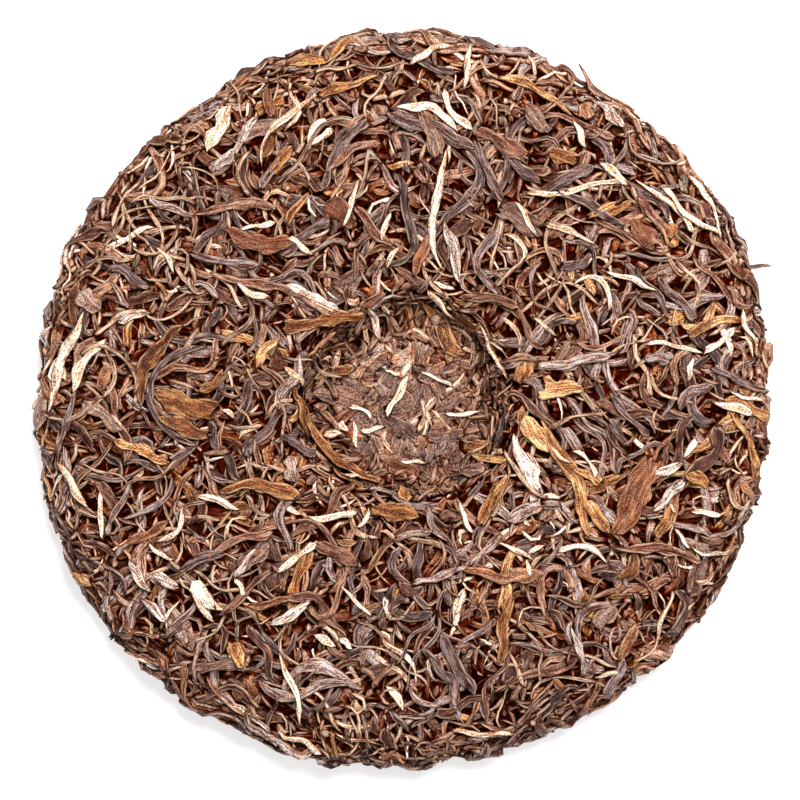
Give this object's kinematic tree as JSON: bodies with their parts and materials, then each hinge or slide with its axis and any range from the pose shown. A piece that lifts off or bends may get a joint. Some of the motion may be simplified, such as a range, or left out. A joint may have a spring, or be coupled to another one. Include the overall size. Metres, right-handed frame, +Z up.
{
  "type": "pu erh tea cake",
  "caption": "Round pressed cake of twisted tea leaves, with a rounded rim and a shallow dimple in the middle of its upper face.",
  "frame": {"origin": "on the resting face, under the middle of the cake", "axes": "+Z up out of the dimple; +Y is the picture's up and +X its right"},
  "size_m": [0.2014, 0.2001, 0.0262],
  "materials": {
    "tea_leaf": "matte"
  },
  "bodies": {
    "root": {"tea_cake": "tea_leaf"}
  },
  "joints": []
}
